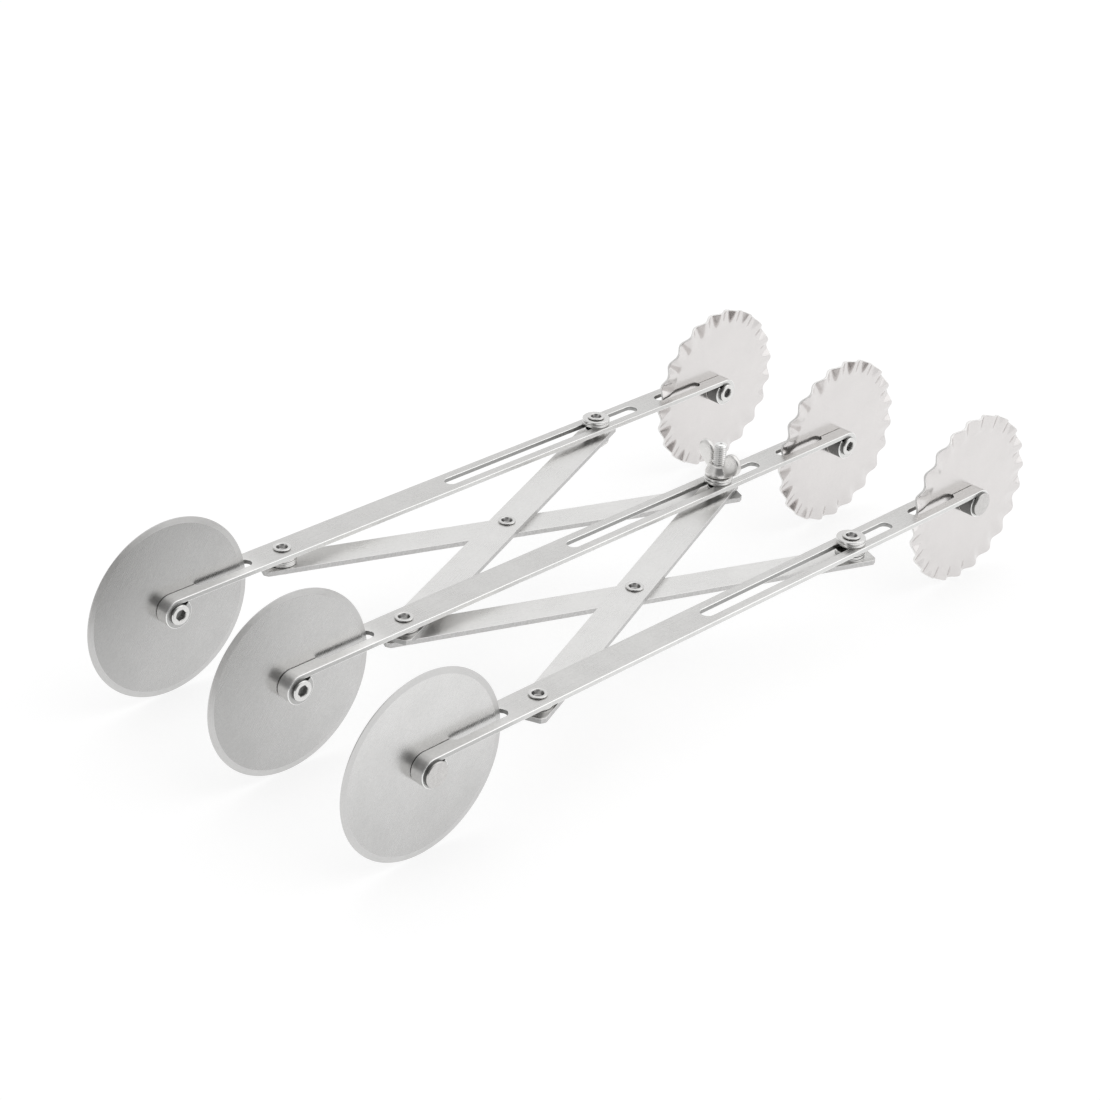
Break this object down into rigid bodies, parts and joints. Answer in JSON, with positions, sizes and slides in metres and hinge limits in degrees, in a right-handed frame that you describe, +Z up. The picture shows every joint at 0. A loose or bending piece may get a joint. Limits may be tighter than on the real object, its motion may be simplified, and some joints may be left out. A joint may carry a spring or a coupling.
{
  "type": "expanding dough divider",
  "caption": "Expanding dough divider: slotted parallel bars on a scissor linkage, plain cutting wheels at one end and fluted wheels at the other, locked by a wing nut",
  "frame": {"origin": "on the table the wheels stand on, midway between the two rows of axles and under the middle bar", "axes": "+X along the bars from the plain wheels to the fluted wheels, +Y across the bars, +Z up"},
  "size_m": [0.2848, 0.12, 0.055],
  "materials": {
    "strip_steel": "stainless strip with a fine lengthwise grain and bright cut edges",
    "plain_wheel_steel": "satin stainless disc with a ground edge",
    "fluted_wheel_steel": "bright satin stainless sheet",
    "fastener_steel": "turned bright stainless",
    "nut_plating": "bright nickel plating"
  },
  "bodies": {
    "far_bar": {"far_bar": "strip_steel", "far_axle_barrels": "fastener_steel", "far_axle_screws": "fastener_steel", "far_pivot_rivet": "fastener_steel", "far_pivot_washers": "fastener_steel"},
    "middle_bar": {"middle_bar": "strip_steel", "middle_axle_barrels": "fastener_steel", "middle_axle_screws": "fastener_steel", "middle_pivot_rivet": "fastener_steel", "middle_pivot_washers": "fastener_steel"},
    "near_bar": {"near_bar": "strip_steel", "near_axle_barrels": "fastener_steel", "near_axle_screws": "fastener_steel", "near_pivot_rivet": "fastener_steel", "near_pivot_washers": "fastener_steel"},
    "far_upper_link": {"far_upper_link": "strip_steel", "far_slide_rivet": "fastener_steel", "far_slide_washers": "fastener_steel", "far_slide_spacers": "fastener_steel", "far_cross_rivet": "fastener_steel"},
    "far_lower_link": {"far_lower_link": "strip_steel", "clamp_washers": "fastener_steel", "clamp_spacers": "fastener_steel"},
    "near_lower_link": {"near_lower_link": "strip_steel", "near_slide_rivet": "fastener_steel", "near_slide_washers": "fastener_steel", "near_slide_spacers": "fastener_steel"},
    "near_upper_link": {"near_upper_link": "strip_steel", "near_cross_rivet": "fastener_steel"},
    "clamp_bolt": {"clamp_bolt": "fastener_steel"},
    "wing_nut": {"wing_nut": "nut_plating"},
    "far_plain_wheel": {"far_plain_wheel": "plain_wheel_steel"},
    "far_fluted_wheel": {"far_fluted_wheel": "fluted_wheel_steel"},
    "middle_plain_wheel": {"middle_plain_wheel": "plain_wheel_steel"},
    "middle_fluted_wheel": {"middle_fluted_wheel": "fluted_wheel_steel"},
    "near_plain_wheel": {"near_plain_wheel": "plain_wheel_steel"},
    "near_fluted_wheel": {"near_fluted_wheel": "fluted_wheel_steel"}
  },
  "joints": [
    {"name": "spread", "type": "hinge", "parent": "middle_bar", "child": "far_upper_link", "pos_m": [-0.07367, 0, 0.0284], "axis": [0, 0, 1], "range_deg": [-17.12, 39.36]},
    {"name": "far_crossing", "type": "hinge", "parent": "far_upper_link", "child": "far_lower_link", "pos_m": [-0.0084, 0.02665, 0.0275], "axis": [0, 0, 1], "range_deg": [-78.73, 34.25]},
    {"name": "far_bar_pivot", "type": "hinge", "parent": "far_lower_link", "child": "far_bar", "pos_m": [-0.07367, 0.0533, 0.029], "axis": [0, 0, 1], "range_deg": [-17.12, 39.36]},
    {"name": "near_link_pivot", "type": "hinge", "parent": "middle_bar", "child": "near_lower_link", "pos_m": [-0.07367, 0, 0.02675], "axis": [0, 0, 1], "range_deg": [-39.36, 17.12]},
    {"name": "near_crossing", "type": "hinge", "parent": "near_lower_link", "child": "near_upper_link", "pos_m": [-0.0084, -0.02665, 0.0275], "axis": [0, 0, 1], "range_deg": [-34.25, 78.73]},
    {"name": "near_bar_pivot", "type": "hinge", "parent": "near_upper_link", "child": "near_bar", "pos_m": [-0.07367, -0.0533, 0.029], "axis": [0, 0, 1], "range_deg": [-39.36, 17.12]},
    {"name": "nut_turn", "type": "hinge", "parent": "far_lower_link", "child": "wing_nut", "pos_m": [0.05686, 0, 0.036], "axis": [0, 0, 1], "range_deg": [0, 450.1]},
    {"name": "bolt_slide", "type": "slide", "parent": "far_lower_link", "child": "clamp_bolt", "axis": [0, 0, 1], "range_m": [-0.000875, 0]},
    {"name": "far_plain_roll", "type": "hinge", "parent": "far_bar", "child": "far_plain_wheel", "pos_m": [-0.11487, 0.0533, 0.0275], "axis": [0, 1, 0], "continuous": true},
    {"name": "far_fluted_roll", "type": "hinge", "parent": "far_bar", "child": "far_fluted_wheel", "pos_m": [0.11487, 0.0533, 0.0275], "axis": [0, 1, 0], "continuous": true},
    {"name": "middle_plain_roll", "type": "hinge", "parent": "middle_bar", "child": "middle_plain_wheel", "pos_m": [-0.11487, 0, 0.0275], "axis": [0, 1, 0], "continuous": true},
    {"name": "middle_fluted_roll", "type": "hinge", "parent": "middle_bar", "child": "middle_fluted_wheel", "pos_m": [0.11487, 0, 0.0275], "axis": [0, 1, 0], "continuous": true},
    {"name": "near_plain_roll", "type": "hinge", "parent": "near_bar", "child": "near_plain_wheel", "pos_m": [-0.11487, -0.0533, 0.0275], "axis": [0, 1, 0], "continuous": true},
    {"name": "near_fluted_roll", "type": "hinge", "parent": "near_bar", "child": "near_fluted_wheel", "pos_m": [0.11487, -0.0533, 0.0275], "axis": [0, 1, 0], "continuous": true}
  ],
  "couplings": [
    {"joint": "far_crossing", "follows": "spread", "ratio": -2},
    {"joint": "far_bar_pivot", "follows": "spread", "ratio": 1},
    {"joint": "near_link_pivot", "follows": "spread", "ratio": -1},
    {"joint": "near_crossing", "follows": "spread", "ratio": 2},
    {"joint": "near_bar_pivot", "follows": "spread", "ratio": -1},
    {"joint": "nut_turn", "follows": "bolt_slide", "rad_per_m": -8976}
  ]
}
